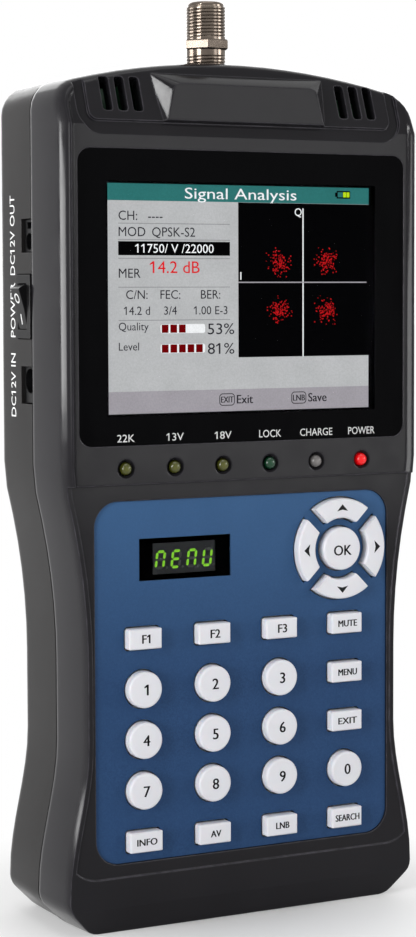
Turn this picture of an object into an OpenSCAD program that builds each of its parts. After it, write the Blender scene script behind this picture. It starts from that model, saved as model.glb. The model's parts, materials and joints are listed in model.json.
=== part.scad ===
// Handheld satellite signal meter, standing upright with its front towards -Y.
// Origin: middle of the base. Millimetres.

/* [Body] */
// Height of the body, from the base to the top of the arched head
body_h = 203; // [198:0.5:212]
// Width of the head
head_w = 95.6; // [93:0.2:100]
// Width at the waist
waist_w = 84.6; // [83:0.2:88]
// Width at the chin
chin_w = 94.6; // [90:0.2:98]
// Depth from the front bead to the back
body_d = 40; // [39.5:0.5:46]
// How far the parting line lies in front of mid-depth
parting_ahead = 1.2; // [0.8:0.1:1.6]
// Wall of the two shells
wall = 2.2; // [1.8:0.1:2.6]
// Radius of the arched top
arch_r = 175; // [130:5:200]
// Radius of the top corners
corner_r = 7.5; // [6:0.5:9]
// Chamfer of the bottom corners
foot_chamfer = 6.3; // [5:0.1:7]
// Radius of the back edges
back_r = 5; // [4:0.5:6]
// How far the sides lean in from the parting line
draft = 0.4; // [0.2:0.1:0.6]
// How far the rear shell stays behind the front shell's side
rear_set = 0.35; // [0.2:0.05:0.5]

/* [Front face] */
// Height of the step between the screen and the keypad
step_z = 104.7; // [104:0.1:106]
// How far below the top the front starts to lean back into the brow
brow_down = 16.2; // [14.5:0.1:16.5]
// Lean of the brow, degrees
brow_tilt = 19.8; // [17:0.1:22]
// Height of the bead rails over the face
bead_h = 1.3; // [0.8:0.1:1.5]
// Width of a bead rail's inner flank
bead_flank = 1.3; // [1:0.1:1.8]
// Depth of the rounded front edge
edge_depth = 3.9; // [3:0.1:4.5]
// Width of the rounded front edge
edge_width = 1.6; // [1:0.1:2]
// Drop from the screen face to the keypad's rim
step_drop = 0.65; // [0.5:0.05:0.9]
// Drop from the rim to the keypad's floor
lip_drop = 0.3; // [0.2:0.05:0.4]
// Height of the crease under the keypad
crease_z = 13.2; // [12.5:0.1:14]
// Height of the crease on the chin
chin_z = 6.2; // [5:0.1:7]
// How far the lower band leans back
chin_lean = 2; // [1:0.1:2.5]

/* [Brow] */
// Depth of the channel round the brow
channel_depth = 0.75; // [0.5:0.05:1]
// Width of that channel
channel_w = 2.9; // [2:0.1:3.2]
// Distance from the head's side to that channel
channel_side = 4.6; // [3.5:0.1:5]
// Width of the raised plate at its foot
plate_w = 42.6; // [36:0.2:44]
// Height of the raised plate
plate_h = 9.1; // [7:0.1:10]
// Length of a vent slot
vent_l = 8.5; // [5:0.1:9]
// Width of a vent slot
vent_w = 2.5; // [1:0.1:2.8]
// Spacing of the vent slots
vent_pitch = 3.9; // [3:0.1:4.2]
// Height of the slots' middle over the foot of the brow
vent_up = 5.7; // [5:0.1:7]
// Distance of the middle slot from the channel
vent_side = 8.9; // [8:0.1:10]

/* [Screen] */
// Distance from the head's sides to the window
glass_side = 4.05; // [3.3:0.05:5]
// Distance from the brow down to the window
glass_down = 5.3; // [4:0.1:6]
// Distance from the step up to the window
glass_up = 9; // [8:0.1:10]
// Corner radius of the window
glass_r = 3.2; // [2:0.1:5]
// Thickness of the window
glass_t = 1; // [0.8:0.1:2.2]
// Distance from the window's side to the screen module
lcd_side = 5.3; // [4:0.1:8]
// Distance from the window's top and bottom to the screen module
lcd_top = 1.95; // [1.8:0.05:3]
// Thickness of the screen module
lcd_t = 3.2; // [2.5:0.1:4]

/* [Lamps] */
// Lens diameter of a lamp
lamp_d = 3; // [2.6:0.1:3.2]
// Spacing of the lamps
lamp_pitch = 12.74; // [12:0.02:13]
// Distance of the lamps over the step
lamp_up = 3.7; // [3.6:0.1:4.4]
// How far a lamp stands out of the face
lamp_rise = 0.9; // [0.5:0.1:1.2]

/* [Keypad] */
// Distance from the waist to the blue panel
overlay_side = 2.6; // [2:0.05:3]
// Distance from the step down to the blue panel
overlay_down = 3.8; // [3.5:0.1:5]
// Distance from the crease up to the blue panel
overlay_up = 3.1; // [2.8:0.1:4]
// Corner radius of the blue panel
overlay_r = 6; // [4:0.5:8]
// Thickness of the blue panel
overlay_t = 0.5; // [0.4:0.05:0.6]
// Drop from the keypad floor to the blue panel
overlay_drop = 0.45; // [0.3:0.05:0.6]
// Column spacing of the keys
key_cx = 18.26; // [17.6:0.02:18.6]
// Row spacing of the keys
key_cz = 11.9; // [11.6:0.1:12]
// Height of the middle row of keys
key_z = 45; // [44.8:0.1:45.2]
// Diameter of a number key
key_d = 8.6; // [8:0.1:8.8]
// Width of a function key
bar_w = 8.6; // [8:0.1:9]
// Height of a function key
bar_h = 4.9; // [4:0.1:5.2]
// How far the keys stand out of the panel
key_rise = 2.1; // [1.8:0.1:2.2]
// Travel of a key
key_travel = 1.1; // [0.8:0.1:1.2]
// Gap between a key and its hole
key_gap = 0.4; // [0.3:0.05:0.5]
// Rounding of a key's front edge
key_edge = 0.6; // [0.3:0.1:0.8]
// How far a key's rim reaches past its hole
key_rim = 0.5; // [0.4:0.05:0.55]
// Height of the arrow pad's middle over the middle row
pad_up = 42; // [41.8:0.1:42.2]
// Sideways place of the arrow pad
pad_x = 26; // [25.4:0.1:26.2]
// Diameter of the key in the arrow pad's middle
ok_d = 10.4; // [9.6:0.1:10.6]
// Inner radius of the arrow keys
arrow_in = 7.4; // [7.2:0.1:7.6]
// Outer radius of the arrow keys
arrow_out = 12.2; // [11.8:0.1:12.4]
// Slot between two arrow keys
arrow_slot = 3.2; // [3:0.1:4]
// Width of the small display's window
seg_w = 24.2; // [22:0.1:26]
// Height of the small display's window
seg_h = 9.9; // [9:0.1:11]
// Sideways place of the small display
seg_x = -15.9; // [-17:0.1:-15]

/* [Connectors] */
// Diameter of the F connector's thread
f_d = 9.525; // [9.5:0.005:9.6]
// Height of the F connector over the body
f_rise = 15; // [14:0.5:18]
// Width across the flats of its hexagon collar
f_hex = 10; // [9.8:0.1:12]
// Bore of the power inlet
dc_in_d = 5.76; // [5.5:0.02:6.2]
// Distance of the power inlet's axis below the switch
dc_in_down = 17.3; // [16.6:0.1:18]
// Bore of the power outlet
dc_out_d = 3.86; // [3.5:0.02:4.2]
// Distance of the power outlet's axis above the switch
dc_out_up = 15.1; // [15:0.1:16]
// Pin of the power inlet
dc_in_pin_d = 2; // [1.6:0.1:2.5]
// Pin of the power outlet
dc_out_pin_d = 1.3; // [1:0.1:1.5]
// How far the jacks lie behind the side
jack_set = 1.1; // [0.6:0.1:1.2]

/* [Switch] */
// Length of the switch's bezel
switch_l = 15.2; // [14.8:0.1:15.6]
// Width of the switch's bezel
switch_w = 8.2; // [7.8:0.1:8.6]
// Height of the switch's middle over the middle between step and brow
switch_up = -0.15; // [-0.5:0.05:0.5]
// Length of the rocker, as the radius of its ends about the pivot
rocker_r = 5.4; // [5:0.1:5.6]
// Width of the rocker
rocker_w = 4.6; // [4.6:0.1:5.4]
// Tilt of the rocker to either side, degrees
rocker_tilt = 13; // [10:0.5:14]

/* [Inside] */
// Thickness of the circuit boards
board_t = 1.6; // [1:0.1:1.8]
// Diameter of a battery cell
cell_d = 18.4; // [17.6:0.1:18.6]
// Length of a battery cell
cell_l = 66; // [64:1:70]
// Diameter of a case screw's shank
screw_d = 2.6; // [2.2:0.1:2.9]
// Running clearance between loose pieces
play = 0.2; // [0.15:0.05:0.25]

/* [Hidden] */
$fn = 48;

// Depths of the front, from the bead backwards
front_y = -body_d / 2;
back_y = body_d / 2;
parting_y = -parting_ahead;
brow_z = body_h - brow_down;
face_y = front_y + bead_h;
rim_y = face_y + step_drop;
floor_y = rim_y + lip_drop;
overlay_y = floor_y + overlay_drop;
inner_y = overlay_y + overlay_t + wall - 0.6;
key_top_y = overlay_y - key_rise;
flange_y = inner_y + play;
flange_t = 1;
mat_t = 0.8;
mat_y = flange_y + flange_t + key_travel + 0.3;
keypad_board_y = mat_y + mat_t;
main_board_y = parting_y - 2.8 - board_t;
glass_y = face_y + 0.15;
lcd_y = glass_y + glass_t + 0.3;
glass_w = head_w - 2 * glass_side;
glass_top_z = brow_z - glass_down;
glass_low_z = step_z + glass_up;
glass_h = glass_top_z - glass_low_z;
glass_z = (glass_top_z + glass_low_z) / 2;
lcd_w = glass_w - 2 * lcd_side;
lcd_h = glass_h - 2 * lcd_top;

// Outline of the body
head_half = head_w / 2;
waist_half = waist_w / 2;
chin_half = chin_w / 2;
chin_top_z = 9;
waist_low_z = key_z - 1;
waist_high_z = key_z + 18;
head_low_z = step_z + 4.3;
head_blend_r = 36;
foot_r = 5;
blend_angle = 2 * atan((head_half - waist_half) / (head_low_z - waist_high_z));
blend_r = (head_low_z - waist_high_z) / sin(blend_angle) - head_blend_r;
arch_z = body_h - arch_r;
brow_half = head_half - channel_side - channel_w;
vent_x = brow_half - vent_side;

// Keypad
overlay_w = waist_w - 2 * overlay_side;
overlay_top_z = step_z - overlay_down;
overlay_low_z = crease_z + overlay_up;
overlay_h = overlay_top_z - overlay_low_z;
overlay_z = (overlay_top_z + overlay_low_z) / 2;
pad_z = key_z + pad_up;
key_rows = ["f1", "f2", "f3", "mute", "1", "2", "3", "menu", "4", "5", "6", "exit",
            "7", "8", "9", "0", "info", "av", "lnb", "search"];
round_keys = ["1", "2", "3", "4", "5", "6", "7", "8", "9", "0"];
seg_block_w = seg_w - 7.6;
seg_block_h = seg_h - 2.6;
lamp_z = step_z + lamp_up;
lamp_hole_d = lamp_d + 2 * play;
lamp_collar_d = lamp_hole_d + 0.4;

// Connectors, switch and what they sit in
f_y = parting_y + 2.1;
f_top_z = body_h + f_rise;
f_hole_d = f_d + 4 * play;
side_x = -head_half + rear_set;
jack_face_x = side_x + jack_set;
jack_y = parting_y + 3.2;
switch_z = (step_z + brow_z) / 2 + switch_up;
dc_in_z = switch_z - dc_in_down;
dc_out_z = switch_z + dc_out_up;
dc_in_notch = [dc_in_z - 5.4, dc_in_z + 3.4];
dc_out_notch = [dc_out_z - 2.6, dc_out_z + 5.3];
jack_body_l = 12;
jack_deep = 9.5;
switch_y = parting_y + play + switch_w / 2;
switch_x = side_x - play;
switch_depth = 12;
pivot_x = switch_x + 1.5;
pivot_r = 0.9;
pivot_reach = 0.6;
rocker_wall = 0.9;
rocker_y = switch_y + (switch_w - rocker_w) / 2 - 2 * play - rocker_wall;

// Boards, battery and screws
board_edge = 5.2;
board_low = 10;
board_high = 5;
boss_r = 3.9;
pilot_r = screw_d / 2 + 0.05;
boss_in = 8;
lamp_reach = 2.5 * lamp_pitch + lamp_collar_d / 2;
boss_mid_x = max(head_half - boss_in, lamp_reach + boss_r + play);
boss_places = [for (s = [-1, 1]) each
  [[s * (chin_half - boss_in), chin_top_z + 4.5],
   [s * boss_mid_x, lamp_z],
   [s * (head_half - boss_in), brow_z + 0.4]]];
screw_seat_y = parting_y + 6;
screw_head_t = 1.8;
screw_end_y = main_board_y - 6;
post_r = 2.2;
post_places = [for (s = [-1, 1]) for (r = [-1.5, 1.5]) [s * key_cx, key_z + r * key_cz]];
bay_w = 3 * cell_d + 2;
bay_h = cell_l + 5;
bay_z = key_z + 13;
bay_wall = 1.5;
door_t = 2;
door_y = back_y - door_t;
bay_y = door_y - cell_d - 0.3;
door_w = bay_w + 7;
door_h = bay_h + 14;
door_screw_z = bay_z + door_h / 2 - 3.6;
door_screw_xs = [-bay_w / 3, bay_w / 3];
door_screw_d = 2;
door_screw_l = 6;
door_head_d = 4.4;

// Tuner can on the main board, and the F connector's foot in it
can_w = 32;
can_h = 40;
can_d = 12;
can_y = main_board_y + board_t;
can_top_z = body_h - 10;
f_bore_d = 6;
f_pin_d = 2;
f_seat = 11;
f_foot_z = can_top_z - f_seat;
f_hex_z = body_h + 3.6;
f_hex_h = 2.5;
f_l = f_top_z - f_foot_z;

buzzer_d = 12;
buzzer_h = 7.5;
buzzer_x = can_w / 2 + buzzer_d / 2 + 2;
buzzer_z = step_z + 18;

function smooth(t) = t * t * (3 - 2 * t);

// Half width of the body at a height: chin, waist, and two arcs up to the head
function half_width(z) =
  z <= chin_top_z ? chin_half :
  z < waist_low_z ?
    chin_half + (waist_half - chin_half) * smooth((z - chin_top_z) / (waist_low_z - chin_top_z)) :
  z <= waist_high_z ? waist_half :
  z < waist_high_z + blend_r * sin(blend_angle) ?
    waist_half + blend_r - sqrt(pow(blend_r, 2) - pow(z - waist_high_z, 2)) :
  z < head_low_z ?
    head_half - head_blend_r + sqrt(pow(head_blend_r, 2) - pow(head_low_z - z, 2)) :
  head_half;

// How far the leaning brow sets the front back at a height, and how the bead rails fade out there
function setback(z) = max(0, z - brow_z) * tan(brow_tilt);
function bead_fade(z) = max(0, min(1, 1 - (z - brow_z) / 10));

// Heights along the side at which the outline has a point
side_heights = concat(
  [for (i = [1:8]) chin_top_z + (waist_low_z - chin_top_z) * i / 8],
  [for (i = [0:7]) waist_high_z + (head_low_z - waist_high_z) * i / 7],
  [brow_z - 40, brow_z]
);

// Right half of the outline, base to top, set in by d at the sides and by low at the base
function half_outline(d, low) =
  let (
    r = max(foot_r - d, 0.3),
    tangent = r * tan(22.5),
    foot = [chin_half - foot_chamfer - d * sqrt(2) + low - tangent, low + r],
    chin = [chin_half - d - r, foot_chamfer + d * (sqrt(2) - 1) + tangent],
    cr = corner_r - d,
    cx = head_half - corner_r,
    cz = arch_z + sqrt(pow(arch_r - corner_r, 2) - pow(cx, 2)),
    corner_a = atan2(cx, cz - arch_z)
  )
  concat(
    [for (i = [0:3]) foot + r * [cos(-90 + 15 * i), sin(-90 + 15 * i)]],
    [for (i = [0:3]) chin + r * [cos(-45 + 15 * i), sin(-45 + 15 * i)]],
    [for (z = side_heights) [half_width(z) - d, z]],
    [for (i = [0:5]) let (a = (90 - corner_a) * i / 5) [cx + cr * cos(a), cz + cr * sin(a)]],
    [for (i = [1:7]) let (a = corner_a * (1 - i / 7.5), ar = arch_r - d)
      [ar * sin(a), arch_z + ar * cos(a)]]
  );

function mirrored(half) = [for (i = [len(half) - 1:-1:0]) [-half[i][0], half[i][1]]];
function outline(d, low) = let (half = half_outline(d, low)) concat(half, mirrored(half));

// One ring of a shell: its depth follows the brow by lean and the bead rails by bead
function ring(d, low, y, lean, bead) =
  [for (p = outline(d, low)) [p[0], y + lean * setback(p[1]) - bead * bead_h * bead_fade(p[1]), p[1]]];

// Skin over a list of rings, closed by level strips at both ends
module loft(rings) {
  m = len(rings[0]);
  last = (len(rings) - 1) * m;
  polyhedron(
    points = [for (r = rings) each r],
    faces = concat(
      [for (k = [0:len(rings) - 2]) for (i = [0:m - 1]) each
        let (a = k * m + i, b = k * m + (i + 1) % m) [[a, a + m, b], [b, a + m, b + m]]],
      [for (i = [0:m / 2 - 2]) each [[i, i + 1, m - 1 - i], [i + 1, m - 2 - i, m - 1 - i]]],
      [for (i = [0:m / 2 - 2]) each
        let (a = last + i, b = last + m - 1 - i) [[a, b, a + 1], [a + 1, b, b - 1]]]
    )
  );
}

// A flat shape in X and Z, made solid from one depth to another
module slab(y0, y1) {
  translate([0, y1, 0]) rotate([90, 0, 0]) linear_extrude(y1 - y0) children();
}

// A round bar along Y
module bar_y(x, z, r, y0, y1) {
  translate([x, y1, z]) rotate([90, 0, 0]) cylinder(r = r, h = y1 - y0);
}

// A round bar along X
module bar_x(y, z, r, x0, x1) {
  translate([x0, y, z]) rotate([0, 90, 0]) cylinder(r = r, h = x1 - x0);
}

// A box from its two corners
module block(low, high) {
  translate(low) cube(high - low);
}

module rounded(w, h, r) {
  square([w - 2 * r, h], center = true);
  square([w, h - 2 * r], center = true);
  for (sx = [-1, 1]) for (sz = [-1, 1]) translate([sx * (w / 2 - r), sz * (h / 2 - r)]) circle(r);
}

// Flat shapes of the keys, grown by g
module key_shape(name, g) {
  if (name == "ok") circle(ok_d / 2 + g);
  else if (is_round(name)) circle(key_d / 2 + g);
  else if (grid_index(name) == []) rotate(arrow_turn(name)) arrow_shape(g);
  else rounded(bar_w + 2 * g, bar_h + 2 * g, key_edge + g);
}

// One arrow key: a quarter of a ring between two slanting slots
module arrow_shape(g) {
  intersection() {
    difference() {
      circle(arrow_out + g);
      circle(arrow_in - g);
    }
    arrow_wedge(g);
  }
}

module arrow_wedge(g) {
  reach = (arrow_slot - 2 * g) / sqrt(2);
  far = 2 * arrow_out;
  polygon([[0, reach], [far, far + reach], [-far, far + reach]]);
}

function arrow_turn(name) = 90 * search([name], ["up", "left", "down", "right"])[0];

// Place of a key on the front, by its name
function grid_index(name) = search([name], key_rows)[0];
function key_place(name) =
  let (i = grid_index(name))
  i == [] ? [pad_x, pad_z] : [(i % 4 - 1.5) * key_cx, key_z + (2 - floor(i / 4)) * key_cz];
pad_names = ["ok", "up", "down", "left", "right"];
key_names = concat(pad_names, key_rows);

module at_key(name) {
  p = key_place(name);
  translate([p[0], p[1]]) children();
}

module all_keys(g) {
  for (name = key_names) at_key(name) key_shape(name, g);
}

// Key: cap with softened front edges, and a rim behind the front wall
module key(name) {
  color("whitesmoke") {
    if (is_round(name)) round_cap(name);
    else if (grid_index(name) == []) arrow_cap(name);
    else bar_cap(name);
    slab(flange_y, flange_y + flange_t) at_key(name) key_shape(name, key_gap + key_rim);
  }
}

function is_round(name) = name == "ok" || search([name], round_keys)[0] != [];
cap_t = flange_y + flange_t / 2 - key_top_y;

// Half of a turned cap or ring, drawn outwards and backwards, with its front edges softened
module cap_profile(inner, outer) {
  intersection() {
    translate([(inner + outer) / 2, cap_t]) rounded(outer - inner, 2 * cap_t, key_edge);
    translate([max(inner, 0), 0]) square([outer, cap_t]);
  }
}

module turned_cap(name, inner, outer) {
  p = key_place(name);
  translate([p[0], key_top_y, p[1]]) rotate([-90, 0, 0]) rotate_extrude() cap_profile(inner, outer);
}

module round_cap(name) {
  r = (name == "ok" ? ok_d : key_d) / 2;
  turned_cap(name, -r, r);
}

module arrow_cap(name) {
  intersection() {
    turned_cap(name, arrow_in, arrow_out);
    slab(key_top_y - 1, flange_y + flange_t) at_key(name) rotate(arrow_turn(name)) arrow_wedge(0);
  }
}

module bar_cap(name) {
  p = key_place(name);
  intersection() {
    slab(key_top_y - 1, key_top_y + cap_t) at_key(name) rounded(bar_w, bar_h, key_edge);
    translate([p[0], key_top_y + cap_t, p[1] - bar_h]) linear_extrude(2 * bar_h)
      rounded(bar_w, 2 * cap_t, key_edge);
    translate([p[0] - bar_w, key_top_y + cap_t, p[1]]) rotate([90, 0, 90]) linear_extrude(2 * bar_w)
      rounded(2 * cap_t, bar_h, key_edge);
  }
}

// The brow's own plane: x across, y up the slope from the foot of its channel
module on_brow() {
  translate([0, face_y, brow_z - channel_depth / sin(brow_tilt)])
    rotate([90 - brow_tilt, 0, 0]) children();
}

module brow_channel() {
  slope = 40;
  outer = brow_half + channel_w;
  foot = channel_w + 0.4;
  on_brow() linear_extrude(6) difference() {
    translate([0, slope / 2]) rounded(2 * outer, slope, 6);
    translate([0, slope / 2 + foot]) rounded(2 * brow_half, slope, 2.2);
  }
}

// Raised plate in the middle of the brow: upright front, sloping cheeks and top
module brow_plate() {
  foot_z = brow_z + 1.2;
  top_z = foot_z + plate_h;
  half = plate_w / 2;
  flare = 0.7;
  corner = 2.6;
  front = face_y - 0.5;
  hull() for (s = [-1, 1]) {
    translate([s * (half - 1), front, foot_z]) rotate([-90, 0, 0]) cylinder(r1 = 0.6, r2 = 1, h = 0.5);
    translate([s * (half - 1.4 - corner), front + 0.4, top_z - corner]) rotate([-90, 0, 0])
      cylinder(r1 = corner - 0.4, r2 = corner, h = 0.5);
    translate([s * (half - 1 + 3 * flare) - 0.25, front + 3, foot_z]) cube(0.5);
    translate([s * (half - 1.4 + 5 * flare) - 0.25, face_y + setback(top_z + 2) + 0.8, top_z + 2])
      cube(0.5);
  }
}

module vents() {
  for (s = [-1, 1]) for (i = [-1:1])
    translate([s * vent_x + i * vent_pitch, face_y + setback(brow_z + vent_up) + 5, brow_z + vent_up])
      rotate([90 - brow_tilt, 0, 0]) linear_extrude(12) rounded(vent_w, vent_l, 0.8);
}

module front_skin() {
  lip = 0.5;
  start = face_y + edge_depth;
  loft(concat(
    [ring(lip, 0, parting_y, 0, 0), ring(0.12, 0, parting_y - 1, 0, 0), ring(0, 0, parting_y - 2.2, 0, 0),
     ring(draft, 0, start, 1, 0)],
    [for (a = [15:15:90])
      ring(draft + edge_width * (1 - cos(a)), 0.3 * sin(a), face_y + edge_depth * (1 - sin(a)), 1, sin(a))],
    [for (t = [0.2:0.2:1])
      ring(draft + edge_width + bead_flank * t, 0.3, face_y, 1, (1 + cos(180 * t)) / 2)]
  ));
}

module front_hollow() {
  inset = wall + draft;
  loft([ring(inset, inset, parting_y + 1, 0, 0), ring(inset, inset, inner_y, 1, 0)]);
}

module keypad_recess() {
  reach = step_z - crease_z;
  intersection() {
    slab(front_y - 1, floor_y) polygon(outline(draft + 1.5, 1));
    slab(front_y - 1, floor_y) translate([0, crease_z + reach]) rounded(chin_w, 2 * reach, 8);
    block([-head_w, front_y - 1, 0], [head_w, 0, step_z]);
  }
}

// What the chin leans back by, across the whole width
module chin_slope() {
  deep = rim_y + chin_lean;
  ahead = rim_y - 3;
  translate([-head_w, 0, 0]) rotate([90, 0, 90]) linear_extrude(2 * head_w)
    polygon([[rim_y, chin_z], [deep, 0], [deep, -1], [ahead, -1], [ahead, chin_z]]);
}

module front_shell() {
  color([0.16, 0.16, 0.17]) difference() {
    union() {
      difference() {
        union() {
          front_skin();
          brow_plate();
        }
        brow_channel();
        front_hollow();
      }
      for (p = boss_places) bar_y(p[0], p[1], boss_r, inner_y - 0.4, main_board_y);
      for (p = post_places) bar_y(p[0], p[1], post_r, inner_y - 0.4, keypad_board_y);
    }
    block([-head_w, front_y - 2, -1], [head_w, rim_y, step_z]);
    keypad_recess();
    slab(front_y - 1, overlay_y + overlay_t)
      translate([0, overlay_z]) rounded(overlay_w, overlay_h, overlay_r);
    chin_slope();
    slab(front_y - 1, glass_y + glass_t) translate([0, glass_z]) rounded(glass_w, glass_h, glass_r);
    slab(front_y, inner_y + 1) translate([0, glass_z]) square([lcd_w + 2, lcd_h + 1.2], center = true);
    slab(front_y, inner_y + 1) translate([seg_x, pad_z]) square([seg_w, seg_h], center = true);
    slab(front_y, inner_y + 1) all_keys(key_gap);
    for (i = [0:5]) {
      bar_y(lamp_x(i), lamp_z, lamp_hole_d / 2, front_y, inner_y + 1);
      translate([lamp_x(i), face_y + 0.6, lamp_z]) rotate([90, 0, 0])
        cylinder(r1 = lamp_hole_d / 2, r2 = lamp_hole_d / 2 + 1, h = 1);
    }
    vents();
    translate([0, f_y, body_h - 20]) cylinder(d = f_hole_d, h = 40);
    for (p = boss_places) bar_y(p[0], p[1], pilot_r, screw_end_y - 1, parting_y + 1);
    for (p = post_places) bar_y(p[0], p[1], 0.85, inner_y + 0.6, keypad_board_y + 1);
  }
}

function lamp_x(i) = (i - 2.5) * lamp_pitch;

module rear_skin() {
  straight_y = back_y - back_r;
  loft(concat(
    [for (a = [90:-11.25:0])
      let (d = back_r * (1 - cos(a))) ring(rear_set + draft + d, d, straight_y + back_r * sin(a), 0, 0)],
    [ring(rear_set, 0, parting_y, 0, 0)]
  ));
}

module rear_hollow() {
  inset = wall + draft + rear_set;
  soft = back_r - wall;
  loft(concat(
    [for (a = [90, 45, 0])
      let (d = inset + soft * (1 - cos(a))) ring(d, d, back_y - back_r + soft * sin(a), 0, 0)],
    [ring(inset, inset, parting_y - 1, 0, 0)]
  ));
}

module rear_shell() {
  color([0.2, 0.2, 0.2]) difference() {
    union() {
      difference() {
        rear_skin();
        rear_hollow();
      }
      for (p = boss_places) bar_y(p[0], p[1], boss_r, main_board_y + board_t, back_y - wall + 0.5);
      block([-bay_w / 2 - bay_wall, bay_y - bay_wall, bay_z - bay_h / 2 - bay_wall],
            [bay_w / 2 + bay_wall, back_y - wall + 0.5, bay_z + bay_h / 2 + bay_wall]);
      for (x = door_screw_xs)
        bar_y(x, door_screw_z, door_screw_d / 2 + 2, door_y - door_screw_l - 2, back_y - wall + 0.5);
    }
    block([-bay_w / 2, bay_y, bay_z - bay_h / 2], [bay_w / 2, back_y + 1, bay_z + bay_h / 2]);
    slab(door_y, back_y + 1) translate([0, bay_z]) rounded(door_w, door_h, 4);
    for (x = door_screw_xs)
      bar_y(x, door_screw_z, door_screw_d / 2 + 0.05, door_y - door_screw_l - 0.5, back_y);
    for (p = boss_places) {
      bar_y(p[0], p[1], pilot_r + 0.2, main_board_y, screw_seat_y + 1);
      bar_y(p[0], p[1], screw_d + 0.5, screw_seat_y, back_y + 1);
    }
    translate([0, f_y, body_h - 20]) cylinder(d = f_hole_d, h = 40);
    side_notch(dc_in_notch, jack_y + dc_in_d / 2 + 0.3);
    side_notch(dc_out_notch, jack_y + dc_out_d / 2 + 0.5);
    side_notch([switch_z - switch_l / 2, switch_z + switch_l / 2], switch_y + switch_w / 2);
  }
}

// Notch in the rear shell's left side, open to the parting line
module side_notch(span, deep_y) {
  block([-head_w, parting_y - 1, span[0]], [-head_half + 12, deep_y, span[1]]);
}

module display_window() {
  color([0.03, 0.03, 0.04])
    slab(glass_y, glass_y + glass_t)
      translate([0, glass_z]) rounded(glass_w - play, glass_h - play, glass_r - play / 2);
}

module lcd_module() {
  color([0.6, 0.65, 0.7])
    slab(lcd_y, lcd_y + lcd_t) translate([0, glass_z]) rounded(lcd_w, lcd_h, 0.8);
}

module keypad_overlay() {
  color([0.2, 0.34, 0.53]) slab(overlay_y, overlay_y + overlay_t) difference() {
    translate([0, overlay_z]) rounded(overlay_w - play, overlay_h - play, overlay_r - play / 2);
    translate([seg_x, pad_z]) square([seg_w, seg_h], center = true);
    all_keys(key_gap);
  }
}

module segment_window() {
  color([0.05, 0.05, 0.06])
    slab(overlay_y, overlay_y + overlay_t) translate([seg_x, pad_z])
      square([seg_w - play, seg_h - play], center = true);
}

module segment_display() {
  color([0.12, 0.12, 0.12])
    slab(overlay_y + overlay_t + play, keypad_board_y) translate([seg_x, pad_z])
      square([seg_block_w, seg_block_h], center = true);
}

// Lamp: domed lens, collar behind the face and two legs to the keypad board
module lamp(i, shade) {
  r = lamp_d / 2;
  tip_y = face_y - lamp_rise;
  collar_y = inner_y + play;
  color(shade) {
    translate([lamp_x(i), tip_y, lamp_z]) rotate([-90, 0, 0]) rotate_extrude() union() {
      intersection() {
        translate([0, r]) circle(r);
        square([r, r]);
      }
      translate([0, r]) square([r, collar_y - tip_y - r]);
      translate([0, collar_y - tip_y]) square([lamp_collar_d / 2, 1]);
    }
    for (s = [-1, 1]) bar_y(lamp_x(i) + s * 0.9, lamp_z, 0.3, collar_y + 0.5, keypad_board_y);
  }
}

module keypad_mat() {
  color([0.55, 0.56, 0.58]) slab(mat_y, mat_y + mat_t) difference() {
    translate([0, overlay_z]) rounded(overlay_w - 8, overlay_h - 3, 2);
    translate([seg_x, pad_z]) square([seg_block_w + 2, seg_block_h + 2], center = true);
    for (p = post_places) translate(p) circle(post_r + 0.4);
  }
}

module keypad_board() {
  color([0.1, 0.35, 0.2]) slab(keypad_board_y, keypad_board_y + board_t) difference() {
    intersection() {
      polygon(outline(board_edge, board_edge));
      translate([-head_w / 2, board_low]) square([head_w, step_z + board_high - board_low]);
    }
    for (p = boss_places) translate(p) circle(boss_r + 0.6);
    for (p = post_places) translate(p) circle(0.95);
  }
}

module board_screws() {
  color("silver") for (p = post_places) {
    bar_y(p[0], p[1], 0.8, inner_y + 0.9, keypad_board_y + board_t + 0.3);
    bar_y(p[0], p[1], 1.9, keypad_board_y + board_t, keypad_board_y + board_t + 1.3);
  }
}

module main_board() {
  color([0.08, 0.3, 0.18]) slab(main_board_y, main_board_y + board_t) difference() {
    polygon(outline(board_edge - 1, board_edge - 1));
    translate([0, body_h]) square([f_d + 6, 24], center = true);
    for (p = boss_places) translate(p) circle(pilot_r + 0.2);
  }
}

module tuner_can() {
  color([0.78, 0.78, 0.8]) difference() {
    block([-can_w / 2, can_y, can_top_z - can_h], [can_w / 2, can_y + can_d, can_top_z]);
    translate([0, f_y, f_foot_z - 1]) cylinder(d = f_d + 2 * play, h = 2 * f_seat);
  }
}

module buzzer() {
  color([0.1, 0.1, 0.1]) difference() {
    bar_y(buzzer_x, buzzer_z, buzzer_d / 2, can_y, can_y + buzzer_h);
    bar_y(buzzer_x, buzzer_z, 1, can_y + buzzer_h / 2, can_y + buzzer_h + 1);
  }
}

// F connector: threaded barrel with a hexagon collar, hollow for its insulator
module f_connector() {
  r = f_d / 2;
  tip = 1.1;
  color([0.8, 0.78, 0.74]) difference() {
    union() {
      translate([0, f_y, f_foot_z]) rotate_extrude() intersection() {
        union() {
          square([r, f_l - tip]);
          square([r - tip, f_l]);
          translate([r - tip, f_l - tip]) circle(tip);
        }
        square([r, f_l]);
      }
      translate([0, f_y, f_hex_z]) rotate(15) cylinder(d = f_hex / cos(30), h = f_hex_h, $fn = 6);
    }
    translate([0, f_y, f_foot_z - 1]) cylinder(d = f_bore_d, h = f_l + 2);
  }
}

module f_insulator() {
  color("white") difference() {
    translate([0, f_y, f_foot_z]) cylinder(d = f_bore_d, h = f_l - 0.6);
    translate([0, f_y, f_foot_z - 1]) cylinder(d = f_pin_d, h = f_l + 2);
  }
}

module f_contact() {
  color([0.85, 0.7, 0.35]) difference() {
    translate([0, f_y, f_foot_z]) cylinder(d = f_pin_d, h = f_l - 1.4);
    translate([0, f_y, f_top_z - f_seat]) cylinder(d = f_pin_d * 0.6, h = f_seat);
  }
}

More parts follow.
